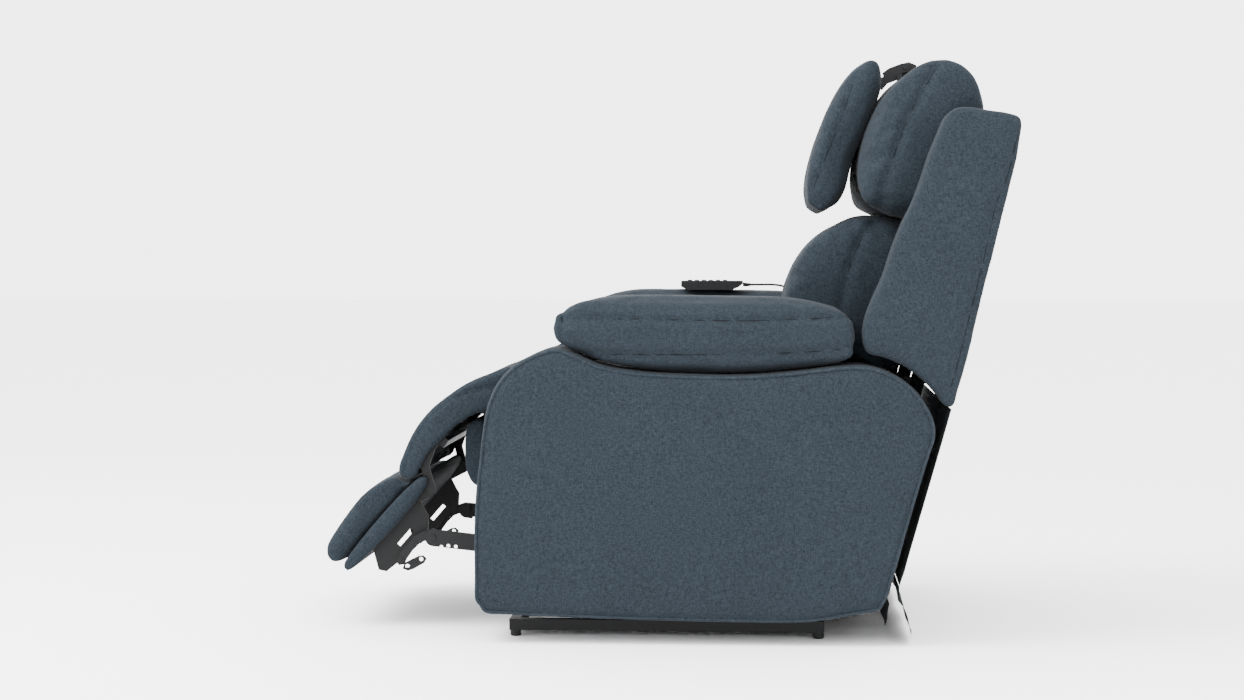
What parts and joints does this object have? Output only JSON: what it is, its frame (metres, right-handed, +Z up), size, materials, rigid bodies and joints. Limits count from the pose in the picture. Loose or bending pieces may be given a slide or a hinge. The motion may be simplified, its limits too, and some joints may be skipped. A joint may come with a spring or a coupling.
{
  "type": "lift recliner chair",
  "caption": "Upholstered power lift recliner with padded arms and back, head pillow, folding leg rest, tilting lift base and corded handset.",
  "frame": {"origin": "middle of the bounding box at floor level", "axes": "+Z up, the sitter faces -Y, +X is the sitter's left"},
  "size_m": [0.86, 1.2729, 1.0593],
  "materials": {
    "frame_steel": "satin",
    "spring_steel": "satin",
    "rod_steel": "polished",
    "motor_plastic": "matte",
    "glide_plastic": "matte",
    "handset_plastic": "matte",
    "handset_keys": "matte",
    "cord_rubber": "matte",
    "wood": "matte",
    "covered_board": "matte",
    "upholstery": "matte"
  },
  "bodies": {
    "base": {"base_side_rails": "frame_steel", "base_cross_tubes": "frame_steel", "base_inner_rails": "frame_steel", "floor_glides": "glide_plastic", "lift_base_brackets": "frame_steel"},
    "lift_arm": {"lift_arms": "frame_steel", "lift_torque_tube": "frame_steel"},
    "lift_link": {"lift_links": "frame_steel"},
    "lift_motor": {"lift_actuator": "motor_plastic"},
    "lift_rod": {"lift_actuator_rod": "rod_steel"},
    "carriage": {"carriage_rails": "frame_steel", "carriage_cross_tubes": "frame_steel", "lift_carriage_brackets": "frame_steel", "carriage_side_plates": "frame_steel", "arm_body_left": "upholstery", "arm_body_right": "upholstery", "arm_pad_left": "upholstery", "arm_pad_right": "upholstery", "seat_box_boards": "wood", "seat_front_panel": "upholstery", "seat_springs": "spring_steel", "seat_cushion": "upholstery", "seat_box_brackets": "frame_steel", "control_box": "motor_plastic", "mains_inlet": "motor_plastic", "handset_case": "handset_plastic", "handset_strain_relief": "handset_plastic", "handset_cord": "cord_rubber", "cord_clip": "motor_plastic", "back_lower_cover": "upholstery", "rear_flap_inner": "upholstery", "rear_flap_outer": "upholstery"},
    "leg_motor": {"leg_actuator": "motor_plastic"},
    "leg_rod": {"leg_actuator_rod": "rod_steel"},
    "recline_motor": {"recline_actuator": "motor_plastic"},
    "recline_rod": {"recline_actuator_rod": "rod_steel"},
    "back": {"back_frame": "covered_board", "back_hinge_plates": "frame_steel", "back_wing_left": "upholstery", "back_wing_right": "upholstery", "back_outside_panel": "upholstery", "lumbar_cushion": "upholstery", "upper_back_cushion": "upholstery", "headrest_mounts": "frame_steel", "back_side_fillers": "upholstery"},
    "headrest": {"headrest_arms": "frame_steel", "headrest_pillow": "upholstery"},
    "legrest": {"legrest_frame": "frame_steel", "chaise_pad": "upholstery"},
    "footboard": {"ottoman_board": "covered_board", "foot_pad": "upholstery", "ottoman_brackets": "frame_steel", "ottoman_arch_links": "frame_steel"},
    "push_bar": {"push_bars": "frame_steel"},
    "button_1": {"handset_button_1": "handset_keys"},
    "button_2": {"handset_button_2": "handset_keys"},
    "button_3": {"handset_button_3": "handset_keys"},
    "button_4": {"handset_button_4": "handset_keys"},
    "button_5": {"handset_button_5": "handset_keys"},
    "button_6": {"handset_button_6": "handset_keys"}
  },
  "joints": [
    {"name": "lift", "type": "hinge", "parent": "base", "child": "lift_arm", "pos_m": [0, 0.24, 0.062], "axis": [-1, 0, 0], "range_deg": [0, 36]},
    {"name": "seat_tilt", "type": "hinge", "parent": "lift_arm", "child": "carriage", "pos_m": [0, -0.2, 0.085], "axis": [1, 0, 0], "range_deg": [0, 64.2]},
    {"name": "lift_link", "type": "hinge", "parent": "base", "child": "lift_link", "pos_m": [0, 0.1204, 0.0892], "axis": [-1, 0, 0], "range_deg": [0, 41.03]},
    {"name": "lift_motor_swing", "type": "hinge", "parent": "base", "child": "lift_motor", "pos_m": [0, -0.13, 0.058], "axis": [1, 0, 0], "range_deg": [-4.25, 0]},
    {"name": "lift_rod", "type": "slide", "parent": "lift_motor", "child": "lift_rod", "axis": [0, 0.8979, 0.4402], "range_m": [0, 0.09615]},
    {"name": "recline", "type": "hinge", "parent": "carriage", "child": "back", "pos_m": [0, 0.362, 0.379], "axis": [-1, 0, 0], "range_deg": [0, 38], "deforming": ["back_lower_cover"]},
    {"name": "recline_motor_swing", "type": "hinge", "parent": "carriage", "child": "recline_motor", "pos_m": [0, -0.285, 0.32], "axis": [1, 0, 0], "range_deg": [0, 0.46]},
    {"name": "recline_rod", "type": "slide", "parent": "recline_motor", "child": "recline_rod", "axis": [0, 1, 0], "range_m": [-0.03901, 0]},
    {"name": "leg_rest", "type": "hinge", "parent": "carriage", "child": "legrest", "pos_m": [0, -0.34, 0.43], "axis": [-1, 0, 0], "range_deg": [0, 52], "deforming": ["chaise_pad"]},
    {"name": "leg_motor_swing", "type": "hinge", "parent": "carriage", "child": "leg_motor", "pos_m": [0, 0.235, 0.345], "axis": [1, 0, 0], "range_deg": [0, 2.79]},
    {"name": "leg_rod", "type": "slide", "parent": "leg_motor", "child": "leg_rod", "axis": [0, -0.9957, 0.0931], "range_m": [0, 0.03978]},
    {"name": "foot_board", "type": "hinge", "parent": "legrest", "child": "footboard", "pos_m": [0, -0.438, 0.256], "axis": [-1, 0, 0], "range_deg": [-41, 0]},
    {"name": "push_bar", "type": "hinge", "parent": "footboard", "child": "push_bar", "pos_m": [0, -0.434, 0.167], "axis": [1, 0, 0], "range_deg": [0, 39]},
    {"name": "head_pillow", "type": "hinge", "parent": "back", "child": "headrest", "pos_m": [0, 0.444, 1.047], "axis": [-1, 0, 0], "range_deg": [0, 30]},
    {"name": "key_1", "type": "slide", "parent": "carriage", "child": "button_1", "axis": [0, 0, -1], "range_m": [0, 0.0012], "stiffness_N_per_m": 400},
    {"name": "key_2", "type": "slide", "parent": "carriage", "child": "button_2", "axis": [0, 0, -1], "range_m": [0, 0.0012], "stiffness_N_per_m": 400},
    {"name": "key_3", "type": "slide", "parent": "carriage", "child": "button_3", "axis": [0, 0, -1], "range_m": [0, 0.0012], "stiffness_N_per_m": 400},
    {"name": "key_4", "type": "slide", "parent": "carriage", "child": "button_4", "axis": [0, 0, -1], "range_m": [0, 0.0012], "stiffness_N_per_m": 400},
    {"name": "key_5", "type": "slide", "parent": "carriage", "child": "button_5", "axis": [0, 0, -1], "range_m": [0, 0.0012], "stiffness_N_per_m": 400},
    {"name": "key_6", "type": "slide", "parent": "carriage", "child": "button_6", "axis": [0, 0, -1], "range_m": [0, 0.0012], "stiffness_N_per_m": 400}
  ],
  "couplings": [
    {"joint": "seat_tilt", "follows": "lift", "ratio": 1.7778},
    {"joint": "lift_link", "follows": "lift", "ratio": 1.1342},
    {"joint": "lift_motor_swing", "follows": "lift", "ratio": -0.1157},
    {"joint": "lift_rod", "follows": "lift", "m_per_rad": 0.15152},
    {"joint": "recline_motor_swing", "follows": "recline", "ratio": 0.011525},
    {"joint": "recline_rod", "follows": "recline", "m_per_rad": -0.058243},
    {"joint": "leg_motor_swing", "follows": "leg_rest", "ratio": 0.051114},
    {"joint": "leg_rod", "follows": "leg_rest", "m_per_rad": 0.043401},
    {"joint": "push_bar", "follows": "leg_rest", "ratio": 0.73846}
  ]
}
